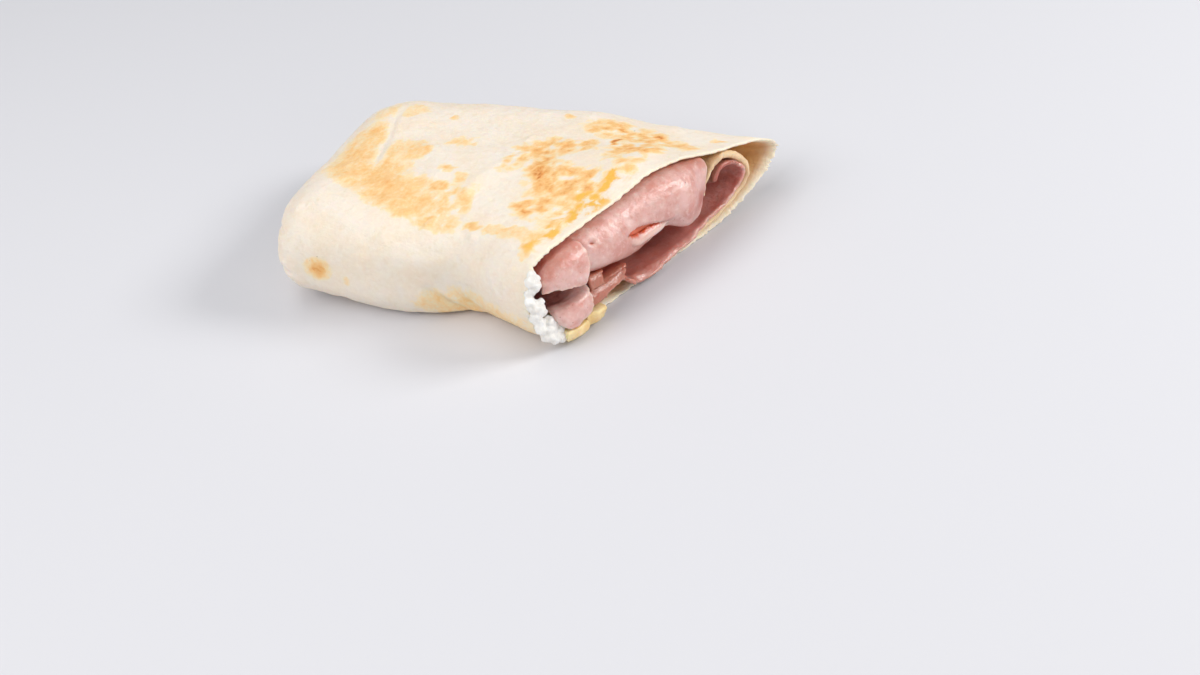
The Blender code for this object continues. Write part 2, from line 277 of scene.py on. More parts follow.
# Places round the sheet, and rows from the closed end out to the cut and back inside
ROUND = 372
round_s = np.arange(ROUND) / ROUND


def toward(first, last, count, power=1.0):
    """Steps from first to last, closer together at first where the power is over 1."""
    return first + (last - first) * np.linspace(0, 1, count) ** power


outer_depths = np.concatenate([
    toward(1.0, 0.955, 14, 1.4)[:-1], toward(0.955, 0.72, 30)[:-1], toward(0.72, 0.012, 116)[:-1],
    toward(0.012, 0.0, 5),
])
inner_depths = np.concatenate([
    toward(0.0, 0.02, 5), toward(0.02, 0.2, 26)[1:], toward(0.2, 0.72, 10)[1:],
    toward(0.72, 1.0, 7)[1:],
])


def sheet_relief(depths):
    """How far each place of the sheet is pushed, and along what, for rows at these depths."""
    s, depth = np.meshgrid(round_s, depths)
    places = skin_point(s, depth, 0.0)
    normals = across_normals(places, True)
    outward = np.sum(normals * (places - np.array([0, 0, 0.4 * HEIGHT])), axis=-1).mean() > 0
    normals = normals if outward else -normals
    x, y, z = (places[..., k] / MM for k in range(3))
    push = 0.44 * lumps(places, 19 * MM, 1) + 0.30 * lumps(places, 8.5 * MM, 2)
    push += 0.13 * lumps(places, 4.2 * MM, 3) + 0.06 * lumps(places, 1.9 * MM, 4)
    # Puffed blisters that the griddle raised
    puffs = lumps(places * np.array([1, 1, 0.6]), 6.2 * MM, 9)
    push += 0.42 * ease((puffs - 0.32) / 0.5)
    # The pale crease, and the smooth hollow nearer the cut
    crease_x = np.interp(y, CREASE_Y, CREASE_X)
    creased = ease((y + 5) / 6) * ease((30 - y) / 8) * (z > 15)
    push -= 0.42 * creased * bell(x, crease_x, 1.0)
    push += 0.20 * creased * bell(x, crease_x + 2.2, 1.6)
    push -= 0.7 * bell(x, 4.5, 7.5) * bell(y, -11, 8.5) * (z > 15)
    push += 0.45 * bell(x - 0.25 * y, -2.0, 2.6) * bell(y, -9, 12) * (z > 15)
    # Wrinkles where the near flank turns under
    low = bell(z, 7.0, 6.0) * ease((-22 - y) / 8)
    push -= 0.9 * low * bell(x - 0.85 * (14 - z), -12.5, 1.7)
    push += 0.7 * low * bell(x - 0.85 * (14 - z), -9.2, 2.2)
    push -= 0.45 * low * bell(x - 0.4 * (14 - z), -21.0, 2.2)
    push += 0.4 * bell(z, 9.0, 3.0) * ease((-22 - y) / 8) * bell(x, -13.0, 2.6)
    slack = bell(z, 15.0, 8.0) * ease((-24 - y) / 8) * ease((x - 2) / 8)
    push += 0.30 * slack * lumps(places * np.array([1.6, 1, 0.5]), 6.5 * MM, 14)
    push -= 0.30 * slack * bell(x + 0.5 * (z - 14), 14.0, 1.3)
    # The folded-in end: layers tucked over each other across the closed end
    end = ease((-52 - x) / 9)
    tuck = 12.5 + 1.2 * np.sin(0.09 * y + 0.4)
    push -= 1.1 * end * bell(z, tuck, 0.9)
    push += 0.6 * end * bell(z, tuck + 2.6, 2.0)
    push -= 0.6 * end * bell(z - 0.35 * (y - 22), 18.5, 0.8) * ease((y - 4) / 8)
    push -= 0.6 * end * bell(z + 0.35 * (y + 18), 18.0, 0.8) * ease((-4 - y) / 8)
    # The long fold down the far side
    far_side = ease((y - 28) / 8)
    push -= 0.35 * far_side * bell(z, 9.5 + 0.03 * x, 1.0)
    push += 0.25 * far_side * bell(z, 12.0 + 0.03 * x, 2.2)
    seam = ease((1.0 - depth) / 0.03)
    push *= seam * ease(z / 3.0 + 0.02)
    return places, normals, push * MM


def edge_out(s):
    """How far the torn edge of the cut stands out, round the mouth."""
    ring = np.stack([np.cos(2 * math.pi * s), np.sin(2 * math.pi * s), 0 * s], -1)
    rough = 0.45 * lumps(ring, 0.070, 5) + 0.42 * lumps(ring, 0.022, 6)
    rough += 0.34 * lumps(ring, 0.0085, 7)
    tip = bell(along_curve(CUT_OUTLINE, s, True)[..., 0], FAR_TIP, 7 * MM)
    rough += tip * (0.8 * lumps(ring, 0.030, 8) + 0.8 * lumps(ring, 0.012, 10))
    return rough * MM


EDGE_FADES = 130
CRUMB_FADES = 65
THIN_EDGE = 0.45

s_out, depth_out = np.meshgrid(round_s, outer_depths)
s_in, depth_in = np.meshgrid(round_s, inner_depths)
outer, outer_normals, outer_push = sheet_relief(outer_depths)
near_cut = np.exp(-depth_out * EDGE_FADES)
outer = outer + outer_normals * outer_push[..., None]
outer[..., 0] += edge_out(s_out) * near_cut

thin = 1 - THIN_EDGE * np.exp(-depth_in * 70)
inner = skin_point(s_in, depth_in, BREAD * thin)
_, inner_normals, inner_push = sheet_relief(inner_depths)
inner = inner + inner_normals * inner_push[..., None]
inner[..., 0] += edge_out(s_in) * np.exp(-depth_in * EDGE_FADES)

# The cut edge of the sheet itself, which bulges a little between its two faces
rim_rows = []
for share in (0.14, 0.38, 0.64, 0.88):
    row = outer[-1] * (1 - share) + inner[0] * share
    bulge = 0.45 * math.sin(math.pi * share) * MM + 0.26 * MM * lumps(row, 1.0 * MM, 12)
    row = row + np.stack([bulge, 0 * bulge, 0 * bulge], -1)
    rim_rows.append(row)
rim = np.stack(rim_rows)
bread_places = np.concatenate([outer, rim, inner])

# How toasted each place is: broad marks, marks broken up into spots, and the pale crease, plus
# painted shade low on the near flank
x_out, y_out, z_out = (outer[..., k] / MM for k in range(3))
from_above = outer * np.array([1, 1, 0])
upper = ease((z_out - 17) / 6) * ease((44 - y_out) / 6)
broken = lumps(from_above, 3.3 * MM, 24) + 0.5 * lumps(from_above, 1.6 * MM, 25)
toast_and_painted_shade = marked(outer, MOTTLED_PLACES) * np.clip(0.84 + 1.15 * broken, 0, 1.05)
toast_and_painted_shade *= 1 - marked(outer, PALE_PLACES)
toast_and_painted_shade = np.maximum(toast_and_painted_shade, marked(outer, GRIDDLE_MARKS)) * upper
creased = bell(x_out, np.interp(y_out, CREASE_Y, CREASE_X) + 0.6, 1.7) * ease((y_out + 5) / 6)
toast_and_painted_shade *= 1 - 0.85 * creased
# Painted shade: a tan tint low on the near flank, towards the cut, for the warm shade along the
# flank's foot
toast_and_painted_shade += 0.30 * ease((17 - z_out) / 11) * ease((x_out + 26) / 24) * (y_out < -25)
# The near flank has one small mark, and the hidden underside and far side have their own
toast_and_painted_shade += 0.72 * bell(x_out, -45, 3.6) * bell(z_out, 15, 2.8) * (y_out < -20)
toast_and_painted_shade += 0.30 * bell(x_out, -36, 1.2) * bell(z_out, 12, 1.6) * (y_out < -20)
under = ease((7 - z_out) / 5) * ease((y_out + 34) / 8)
under *= ease((lumps(from_above, 15 * MM, 21) + 0.12) / 0.5)
beyond = ease((y_out - 30) / 8) * ease((20 - z_out) / 8)
beyond *= ease((lumps(outer, 11 * MM, 22) - 0.05) / 0.5)
end_marks = ease((-54 - x_out) / 6) * ease((y_out + 4) / 10)
end_marks *= ease((lumps(outer, 9 * MM, 23) - 0.15) / 0.5)
toast_and_painted_shade = np.clip(toast_and_painted_shade + 0.75 * under + 0.55 * beyond + 0.45 * end_marks, 0, 1.3)
oily = marked(outer, OILY_PLACES) * upper
on_rim, on_inner = np.ones(rim.shape[:2]), np.ones(inner.shape[:2])
bread_marks = {
    "toast_and_painted_shade": np.concatenate([toast_and_painted_shade, 0 * on_rim, 0 * on_inner]),
    "oily": np.concatenate([oily, 0.2 * on_rim, 0.25 * on_inner]),
    "crumb": np.concatenate([near_cut, on_rim, np.exp(-depth_in * CRUMB_FADES)]),
    "within": np.concatenate([0 * near_cut, 0.3 * on_rim, 0.3 + 0.7 * ease(depth_in / 0.02)]),
}
flatbread = grid_object("flatbread", bread_places, True, bread_marks)


def shade(red, green, blue):
    """A colour as it looks, from 0 to 255, as the shader takes it."""
    return tuple(
        c / 255 / 12.92 if c / 255 <= 0.04045 else ((c / 255 + 0.055) / 1.055) ** 2.4
        for c in (red, green, blue)
    ) + (1.0,)


class Finish:
    """A material, with short ways to add the nodes that give it its pattern."""

    def __init__(self, name):
        self.material = bpy.data.materials.new(name)
        self.material.use_nodes = True
        self.tree = self.material.node_tree
        self.shader = self.tree.nodes["Principled BSDF"]
        self.place = self.tree.nodes.new("ShaderNodeTexCoord").outputs["Object"]

    def link(self, source, target):
        self.tree.links.new(source, target)

    def fill(self, socket, value):
        if isinstance(value, bpy.types.NodeSocket):
            self.link(value, socket)
        else:
            socket.default_value = value

    def noise(self, size, detail=3.0, stretch=(1, 1, 1), rough=0.55, shift=0.0, warp=0.0):
        """Noise with lumps of this size in metres."""
        mapping = self.tree.nodes.new("ShaderNodeMapping")
        mapping.inputs["Scale"].default_value = [1 / (size * part) for part in stretch]
        mapping.inputs["Location"].default_value = (shift, shift * 1.7, -shift)
        self.link(self.place, mapping.inputs["Vector"])
        node = self.tree.nodes.new("ShaderNodeTexNoise")
        node.inputs["Scale"].default_value = 1.0
        node.inputs["Detail"].default_value = detail
        node.inputs["Roughness"].default_value = rough
        node.inputs["Distortion"].default_value = warp
        self.link(mapping.outputs["Vector"], node.inputs["Vector"])
        return node.outputs["Fac"]

    def cells(self, size):
        """How far each place is from the middle of its cell, for cells of this size in metres."""
        mapping = self.tree.nodes.new("ShaderNodeMapping")
        mapping.inputs["Scale"].default_value = [1 / size] * 3
        self.link(self.place, mapping.inputs["Vector"])
        node = self.tree.nodes.new("ShaderNodeTexVoronoi")
        node.inputs["Scale"].default_value = 1.0
        self.link(mapping.outputs["Vector"], node.inputs["Vector"])
        return node.outputs["Distance"]

    def mark(self, name):
        """The value that the mesh carries under this name."""
        node = self.tree.nodes.new("ShaderNodeAttribute")
        node.attribute_name = name
        return node.outputs["Fac"]

    def combine(self, kind, a, b=0.0, c=0.0, clamp=False):
        """Numbers worked together by one step of arithmetic, such as MULTIPLY."""
        node = self.tree.nodes.new("ShaderNodeMath")
        node.operation = kind
        node.use_clamp = clamp
        for socket, value in zip(node.inputs, (a, b, c)):
            self.fill(socket, value)
        return node.outputs[0]

    def between(self, value, low, high):
        """0 below low and 1 above high, with a soft step."""
        node = self.tree.nodes.new("ShaderNodeMapRange")
        node.interpolation_type = "SMOOTHSTEP"
        self.fill(node.inputs["Value"], value)
        node.inputs["From Min"].default_value = low
        node.inputs["From Max"].default_value = high
        return node.outputs["Result"]

    def mix(self, share, first, second):
        """The first colour, with this share of the second over it."""
        node = self.tree.nodes.new("ShaderNodeMix")
        node.data_type = "RGBA"
        self.fill(node.inputs["Factor"], share)
        self.fill(node.inputs[6], first)
        self.fill(node.inputs[7], second)
        return node.outputs[2]

    def ramp(self, value, stops):
        """A colour that changes with the value, through these stops."""
        node = self.tree.nodes.new("ShaderNodeValToRGB")
        ramp = node.color_ramp
        while len(ramp.elements) < len(stops):
            ramp.elements.new(0.5)
        for element, (position, colour) in zip(ramp.elements, stops):
            element.position = position
            element.color = colour
        self.fill(node.inputs["Fac"], value)
        return node.outputs["Color"]

    def bump(self, height, distance, strength, below=None):
        """Fine relief, on top of the relief below it if there is one."""
        node = self.tree.nodes.new("ShaderNodeBump")
        node.inputs["Strength"].default_value = strength
        node.inputs["Distance"].default_value = distance
        self.fill(node.inputs["Height"], height)
        if below is not None:
            self.link(below, node.inputs["Normal"])
        return node.outputs["Normal"]

    def soft(self, weight, radius, scale):
        """Light that sinks in and comes out again nearby, as it does in food."""
        self.shader.inputs["Subsurface Weight"].default_value = weight
        self.shader.inputs["Subsurface Radius"].default_value = radius
        self.shader.inputs["Subsurface Scale"].default_value = scale


# Pale floury dough, browned where the griddle touched it, with dark specks and yellow fat, and
# painted shade as a deeper tan inside the roll and low on the near flank
bread = Finish("griddled_flatbread")
toast_and_shade = bread.mark("toast_and_painted_shade")
streaks = bread.noise(4.6 * MM, 5.0, (0.85, 1.15, 1.0), 0.60, warp=0.35)
speckle = bread.noise(1.3 * MM, 4.0, rough=0.6, shift=3.0)
blotches = bread.noise(11 * MM, 4.0, rough=0.5, shift=5.0)
uneven = bread.combine("MULTIPLY_ADD", bread.combine("SUBTRACT", speckle, 0.5), 0.9,
                   bread.combine("MULTIPLY", bread.combine("SUBTRACT", streaks, 0.5), 1.5))
share = bread.combine("MULTIPLY_ADD", toast_and_shade, 0.7, 0.35)
browning_and_shade = bread.combine("MULTIPLY_ADD", uneven, share, toast_and_shade)
browning_and_shade = bread.combine("MULTIPLY", browning_and_shade, bread.between(toast_and_shade, 0.0, 0.16), clamp=True)
pale = bread.mix(bread.between(blotches, 0.36, 0.66), shade(241, 228, 215), shade(241, 223, 204))
pale = bread.mix(bread.combine("MULTIPLY", bread.between(speckle, 0.40, 0.72), 0.45), pale,
                 shade(247, 235, 220))
mottle = bread.noise(2.6 * MM, 4.0, rough=0.6, shift=9.0)
pale = bread.mix(bread.combine("MULTIPLY", bread.between(mottle, 0.50, 0.74), 0.50), pale,
                 shade(232, 213, 190))
browned = bread.ramp(browning_and_shade, [
    (0.0, shade(240, 226, 204)), (0.18, shade(247, 222, 184)), (0.42, shade(248, 204, 148)),
    (0.66, shade(243, 186, 120)), (0.86, shade(230, 156, 86)), (1.0, shade(200, 118, 58)),
])
top_colour = bread.mix(bread.between(browning_and_shade, 0.0, 0.22), pale, browned)
oil = bread.combine("MULTIPLY", bread.mark("oily"), bread.between(streaks, 0.34, 0.62))
top_colour = bread.mix(bread.between(oil, 0.03, 0.50), top_colour, shade(243, 186, 84))
specks = bread.between(bread.cells(5.2 * MM), 0.055, 0.030)
specks = bread.combine("MULTIPLY", specks, bread.between(mottle, 0.55, 0.62))
top_colour = bread.mix(bread.combine("MULTIPLY", specks, 0.75), top_colour, shade(120, 84, 52))
# Painted shade: the roll's inside is a deeper, darker tan than the dough's own colour, for the
# shade inside the roll
inside_shade_colour = bread.mix(bread.between(blotches, 0.4, 0.65), shade(224, 178, 114),
                          shade(206, 156, 92))
colour = bread.mix(bread.mark("within"), top_colour, inside_shade_colour)
crumb = bread.combine("MULTIPLY", bread.mark("crumb"), 0.75)
colour = bread.mix(crumb, colour, shade(247, 236, 216))
bread.link(colour, bread.shader.inputs["Base Color"])
roughness = bread.combine("MULTIPLY_ADD", oil, -0.30, 0.72)
roughness = bread.combine("MULTIPLY_ADD", bread.mark("within"), -0.18, roughness)
bread.link(roughness, bread.shader.inputs["Roughness"])
bread.shader.inputs["Specular IOR Level"].default_value = 0.35
bread.soft(0.34, (1.0, 0.60, 0.34), 3.0 * MM)
pores = bread.combine("MULTIPLY_ADD", bread.noise(0.55 * MM, 3.0, shift=1.0), 0.35,
                  bread.noise(1.7 * MM, 4.0, shift=2.0, rough=0.6))
bread.link(bread.bump(pores, 0.42 * MM, 0.9), bread.shader.inputs["Normal"])
flatbread.data.materials.append(bread.material)
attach(flatbread, "root")
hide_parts("tortilla")

# The sheet's inner end
# The same flatbread's inner edge, which the roll ends on. It goes round the curled end of the
# long slice, inside the far fold, and stops just behind the cut.

INNER_LAP = np.array([
    (13.4, 12.4), (16.4, 16.9), (19.4, 19.4), (22.9, 20.1), (26.2, 18.6), (29.0, 15.8),
    (30.6, 12.6), (30.6, 9.4), (28.5, 7.0), (24.0, 4.9), (19.0, 3.5), (14.0, 2.6), (9.0, 1.8),
    (4.0, 0.9),
]) * MM


def edge_steps(length, step):
    """Shares from 0 to 1 along a slice of this length in mm, closer together at its edges."""
    border = np.array([0.0, 0.05, 0.16, 0.34, 0.6, 0.95])
    middle = np.linspace(border[-1], length - border[-1], max(int(length / step), 3))
    return np.concatenate([border[:-1], middle, length - border[-2::-1]]) / length


def slab_object(name, middle, thick, marks=None, ragged=0.0, seed=0, rounding=None):
    """A slice of this thickness round a grid of places, with rounded or ragged edges."""
    normals = across_normals(middle, False)
    over = np.cumsum(np.linalg.norm(np.diff(middle, axis=1), axis=-1), 1)
    down = np.cumsum(np.linalg.norm(np.diff(middle, axis=0), axis=-1), 0)
    left = np.pad(over, ((0, 0), (1, 0)))
    top = np.pad(down, ((1, 0), (0, 0)))
    edge = np.minimum.reduce([left, left[:, -1:] - left, top, top[-1:] - top])
    share = np.clip(edge / (rounding or 0.5 * thick), 0, 1)
    height = (0.5 * thick * np.sqrt(np.clip(1 - (1 - share) ** 2, 0, 1)))[..., None]
    if ragged:
        pull = np.stack([lumps(middle, 2.4 * MM, seed + k) for k in range(3)], -1)
        pull += 0.6 * np.stack([lumps(middle, 1.0 * MM, seed + 4 + k) for k in range(3)], -1)
        middle = middle + pull * (ragged * np.exp(-edge / (1.1 * MM)))[..., None]
    places = np.concatenate([middle + normals * height, (middle - normals * height)[:, ::-1]], 1)
    shown = {"edge": 1 - ease(edge / (1.3 * MM)), **(marks or {})}
    shown = {mark: np.concatenate([v, v[:, ::-1]], 1) for mark, v in shown.items()}
    return grid_object(name, places, True, shown)


lap_u, lap_v = np.meshgrid(edge_steps(52, 0.55), edge_steps(60, 1.0) ** 1.6)
lap_line = along_curve(INNER_LAP, lap_u)
lap_out = (0.1 + 0.35 * lumps(lap_line[..., [0, 1, 1]], 5 * MM, 31)) * MM
lap_places = wrap_point(lap_line[..., 0], lap_line[..., 1], FILLING_DEPTH * lap_v,
                        lap_out * (1 - lap_v))
lap_places = lap_places + across_normals(lap_places, False) * (
    0.22 * MM * lumps(lap_places, 5 * MM, 32) + 0.1 * MM * lumps(lap_places, 2 * MM, 33)
)[..., None]
lap_thick = (1.45 + 0.75 * bell(lap_u, 0.34, 0.16)) * MM
inner_end = slab_object(
    "inner_end", lap_places, lap_thick, ragged=0.34 * MM, seed=34, rounding=0.8 * MM,
    marks={"within": 0.75 + 0.25 * ease(lap_v / 0.1), "toast_and_painted_shade": 0 * lap_v,
           "oily": 0.15 + 0 * lap_v, "crumb": 0.30 * np.exp(-lap_v * 60)},
)
inner_end.data.materials.append(bread.material)
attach(inner_end, "root")
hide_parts("tortilla")

# The large folded slice
# A thin slice of cooked, pressed cold meat, folded over on itself under the top of the bread.
# Its smooth fold bulges out of the cut, with a torn slit low down and one small air hole.

MEAT = 1.3 * MM


def rail(*points):
    """A line across the cut, of (across, height, out) in mm, near side first."""
    y, z, out = (np.array(part, float) * MM for part in zip(*points))
    return wrap_point(y, z, np.zeros(len(y)), out)


def inner_rails(depths, *points):
    """Lines across the wrap at these depths, of (across, height) in mm, near side first."""
    y, z = (np.array(part, float) * MM for part in zip(*points))
    return [wrap_point(y, z, np.full(len(y), depth)) for depth in depths]


def loft(rails, u, v):
    """A smooth surface through the rails, at shares u along them and v from first to last."""
    lines = np.stack([along_curve(np.asarray(line), u) for line in rails])
    flat = along_curve(lines.reshape(len(rails), -1), v)
    return flat.reshape(len(v), len(u), 3)


def rail_steps(spans, step):
    """Shares from first to last rail, with about one row to each step, given the spans in mm."""
    rows = []
    for number, span in enumerate(spans):
        count = max(int(span / step(number)), 2)
        rows.append(number + np.arange(count) / count)
    first = np.array([0.0, 0.004, 0.012, 0.025])
    rows = np.concatenate([first, *rows, [len(spans)]])
    last = len(spans) - np.array([0.012, 0.03, 0.07, 0.13])
    return np.unique(np.concatenate([rows, last])) / len(spans)


def meat_relief(places, normals, seed):
    """The slight unevenness of a slice, along these directions."""
    push = 0.26 * lumps(places, 6.5 * MM, seed) + 0.12 * lumps(places, 3.0 * MM, seed + 1)
    push += 0.05 * lumps(places, 1.4 * MM, seed + 2)
    return places + normals * (push * MM)[..., None]


def outward_normals(places):
    """Directions across a shown slice, turned to look out of the cut."""
    normals = across_normals(places, False)
    return normals if normals[..., 0].sum() > 0 else -normals


UNDER_TOP = [(-28.4, 26.0), (-22.6, 26.4), (-16.4, 26.6), (-9.3, 27.4), (-1.6, 27.6),
             (6.4, 26.2), (14.3, 23.2)]
UNDER_FOLD = [(-28.4, 14.6), (-22.0, 13.8), (-15.8, 13.1), (-9.0, 12.9), (-2.2, 13.4),
              (4.4, 10.8), (11.4, 8.4)]
fold_rails = inner_rails((0.8, 0.5, 0.25, 0.09), *UNDER_TOP) + [
    rail((-31.6, 25.7, -2.6), (-27.8, 26.0, -2.0), (-23.2, 26.3, -1.8), (-17.0, 26.8, -1.8),
         (-9.8, 27.6, -1.8), (-2.2, 28.0, -1.8), (5.8, 26.6, -1.8), (15.4, 23.8, -2.4)),
    rail((-32.4, 24.8, -0.6), (-28.2, 25.2, 0.8), (-23.6, 25.5, 1.1), (-17.4, 25.9, 1.2),
         (-10.2, 26.7, 1.2), (-2.6, 27.2, 1.4), (5.6, 25.9, 1.2), (15.8, 23.0, -0.6)),
    rail((-33.2, 23.2, 0.8), (-28.8, 23.6, 2.4), (-24.4, 23.7, 3.2), (-18.0, 23.9, 3.5),
         (-10.7, 24.6, 3.6), (-3.0, 25.4, 3.9), (5.2, 24.2, 3.6), (15.0, 21.4, 0.8)),
    rail((-34.0, 20.8, 1.6), (-29.6, 21.2, 3.4), (-25.4, 21.0, 4.7), (-18.5, 20.6, 5.1),
         (-10.9, 20.6, 4.9), (-3.6, 21.6, 5.6), (4.2, 20.6, 5.4), (13.0, 18.0, 1.6)),
    rail((-34.4, 18.0, 1.8), (-29.8, 18.0, 3.5), (-25.3, 17.5, 4.7), (-17.6, 16.4, 4.8),
         (-9.9, 16.2, 4.2), (-3.8, 17.2, 5.4), (2.8, 15.4, 5.4), (10.4, 12.8, 1.8)),
    rail((-33.6, 16.6, 0.8), (-28.8, 15.9, 2.5), (-24.2, 15.0, 3.2), (-17.2, 13.4, 3.2),
         (-9.2, 13.2, 2.4), (-3.2, 14.6, 3.4), (2.6, 10.9, 3.9), (9.2, 9.2, 1.2)),
    rail((-32.4, 15.6, -1.4), (-27.6, 14.7, -0.2), (-22.8, 13.9, 0.2), (-16.4, 12.8, 0.4),
         (-8.8, 12.6, -0.2), (-2.4, 13.6, 0.6), (3.4, 9.8, 0.4), (10.2, 7.8, -1.4)),
] + inner_rails((0.09, 0.25, 0.5, 0.8), *UNDER_FOLD)
fold_u = edge_steps(46, 0.36)
fold_v = rail_steps((30, 26, 17, 9, 3.2, 3.4, 4, 4.6, 4.2, 4, 9, 17, 26, 30),
                    lambda n: 0.36 if 3 < n < 10 else 0.8 if n in (3, 10) else 2.6)
fold = loft(fold_rails, fold_u, fold_v)
fold_normals = outward_normals(fold)
fold = meat_relief(fold, fold_normals, 41)


def on_cut(places):
    """Across, height and distance out of the cut, in mm, of places near it."""
    y = places[..., 1] + CENTRE_Y
    return y / MM, places[..., 2] / MM, (places[..., 0] + CENTRE_X - cut_x(y)) / MM


fold_y, fold_z, fold_out = on_cut(fold)
shown_fold = ease(fold_out / 1.6)
# The slit is wide at its near end and runs down to the far side, over a thick pale lip
slit_z = np.interp(fold_y, [-19, -15, -11, -7, -4], [20.0, 19.2, 18.3, 17.0, 16.2])
slit_half = np.interp(fold_y, [-19.2, -18, -15.5, -12, -8, -4.5], [0, 1.15, 1.75, 1.35, 0.65, 0])
slit = shown_fold * ease((slit_half + 0.30 - np.abs(fold_z - slit_z)) / 0.60)
slit *= ease(slit_half / 0.2)
lip = shown_fold * bell(fold_z, slit_z - slit_half - 1.15, 0.75)
lip *= ease((fold_y + 19.5) / 3) * ease((-3.6 - fold_y) / 3)
hole = shown_fold * np.exp(-(((fold_y + 28.0) / 0.55) ** 2 + ((fold_z - 23.4) / 0.5) ** 2))
groove = shown_fold * bell(fold_z, 15.6 + 0.16 * (fold_y + 4), 1.5) * bell(fold_y, -5.0, 3.2)
swell = shown_fold * bell(fold_y, 1.5, 5.0) * bell(fold_z, 18, 6)
push = -1.25 * slit + 0.85 * lip - 1.5 * hole - 0.9 * groove + 0.7 * swell
fold = fold + fold_normals * (push * MM)[..., None]


def rim_shadow(places):
    """How close a place is to the top of the cut, where shade of the bread's rim is painted on the
    meat.
    """
    y, z, _ = on_cut(places)
    top = np.interp(y, [-44, -38, -32, -17, -4, 6, 17, 28], [24, 27, 28.6, 29.3, 30.5, 29, 25, 21])
    return ease((z - top + 3.8) / 3.0)


# Painted shade on the folded slice: orange-brown under the bread's rim, beside the meat's own
# orange tint near its lower left, and darker red low on the nose, partly its own purplish tint and
# partly shade where the fold turns under
folded_slice = slab_object(
    "folded_slice", fold, MEAT, ragged=0.25 * MM, seed=44,
    marks={"torn": ease((2.6 * slit + 1.6 * hole - 0.06) / 0.5), "pale_lip": lip,
           "mauve_and_painted_shade": shown_fold * bell(fold_y, 6.5, 4.2) * bell(fold_z, 15.5, 4.5),
           "warm_tint_and_painted_shade": np.clip(rim_shadow(fold) + 0.6 * shown_fold * bell(fold_z, 14, 2.4)
                           * ease((-9 - fold_y) / 8), 0, 1)},
)

# Moist pink meat: pressed lumps of two tones, fine flecks, paler cut edges, and a wet coat, with
# painted shade in orange-brown and dark red where the marks put it
meat = Finish("cooked_cold_meat")
grain = meat.noise(7 * MM, 4.0, rough=0.55, shift=1.0)
flecks = meat.noise(1.5 * MM, 4.0, rough=0.6, shift=4.0)
fine = meat.noise(0.5 * MM, 3.0, rough=0.6, shift=8.0)
base = meat.mix(meat.between(grain, 0.34, 0.66), shade(209, 146, 135), shade(229, 184, 177))
base = meat.mix(meat.combine("MULTIPLY", meat.between(flecks, 0.50, 0.76), 0.55), base,
                shade(243, 212, 206))
base = meat.mix(meat.combine("MULTIPLY", meat.between(flecks, 0.46, 0.26), 0.40), base,
                shade(198, 124, 106))
base = meat.mix(meat.combine("MULTIPLY", meat.mark("edge"), 0.55), base, shade(240, 206, 192))
# Painted shade: orange-brown under the bread's rim and on slices that lie in shade, with some of
# the meat's own orange tint near the fold's lower edge
base = meat.mix(meat.combine("MULTIPLY", meat.mark("warm_tint_and_painted_shade"), 0.90), base, shade(166, 88, 56))
# Painted shade: darker red on the parts of the slices inside the cut, with a purplish tint low on
# the fold's nose
base = meat.mix(meat.combine("MULTIPLY", meat.mark("mauve_and_painted_shade"), 0.60), base, shade(176, 82, 72))
base = meat.mix(meat.combine("MULTIPLY", meat.mark("pale_lip"), 0.60), base, shade(240, 206, 194))
base = meat.mix(meat.mark("torn"), base, shade(214, 92, 50))
dots = meat.between(meat.cells(2.9 * MM), 0.085, 0.045)
base = meat.mix(meat.combine("MULTIPLY", dots, 0.55), base, shade(158, 76, 62))
meat.link(base, meat.shader.inputs["Base Color"])
meat.link(meat.combine("MULTIPLY_ADD", meat.between(flecks, 0.3, 0.7), 0.22, 0.30),
          meat.shader.inputs["Roughness"])
meat.shader.inputs["Specular IOR Level"].default_value = 0.55
meat.shader.inputs["Coat Weight"].default_value = 0.70
meat.shader.inputs["Coat Roughness"].default_value = 0.23
meat.soft(0.50, (1.0, 0.26, 0.16), 4.5 * MM)
wet = meat.bump(meat.noise(1.4 * MM, 3.0, rough=0.5, shift=11.0), 0.28 * MM, 0.7)
wet = meat.bump(fine, 0.13 * MM, 0.7, wet)
meat.link(wet, meat.shader.inputs["Normal"])
meat.link(wet, meat.shader.inputs["Coat Normal"])


def dress_meat(piece, node):
    piece.data.materials.append(meat.material)
    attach(piece, "root")
    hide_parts(node)


dress_meat(folded_slice, "meat_top_fold")

# The flap beside it
# Another slice of the same meat. It comes out from under the bread's near corner, in front of
# the folded slice, and hangs down over the rest of the cut.


def meat_slice(name, node, rails, spans, width, shown_from, seed, ragged=0.45, painted_shade=0.0):
    """A slice lofted through rails: fine where it shows, coarse inside the wrap."""
    u = edge_steps(width, 0.36)
    v = rail_steps(spans, lambda n: 0.36 if n >= shown_from else 1.0 if n == shown_from - 1 else 3)
    places = loft(rails, u, v)
    places = meat_relief(places, outward_normals(places), seed)
    stands_out = on_cut(places)[2]
    nothing = 0 * stands_out
    # Painted shade: the part of a slice inside the cut is coloured darker red, and orange-brown
    # goes on by the given share and under the bread's rim
    piece = slab_object(name, places, MEAT, ragged=ragged * MM, seed=seed + 5, marks={
        "torn": nothing, "pale_lip": nothing, "mauve_and_painted_shade": 1 - ease((stands_out + 0.5) / 3.0),
        "warm_tint_and_painted_shade": np.maximum(painted_shade, 0.9 * rim_shadow(places))})
    dress_meat(piece, node)
    return piece


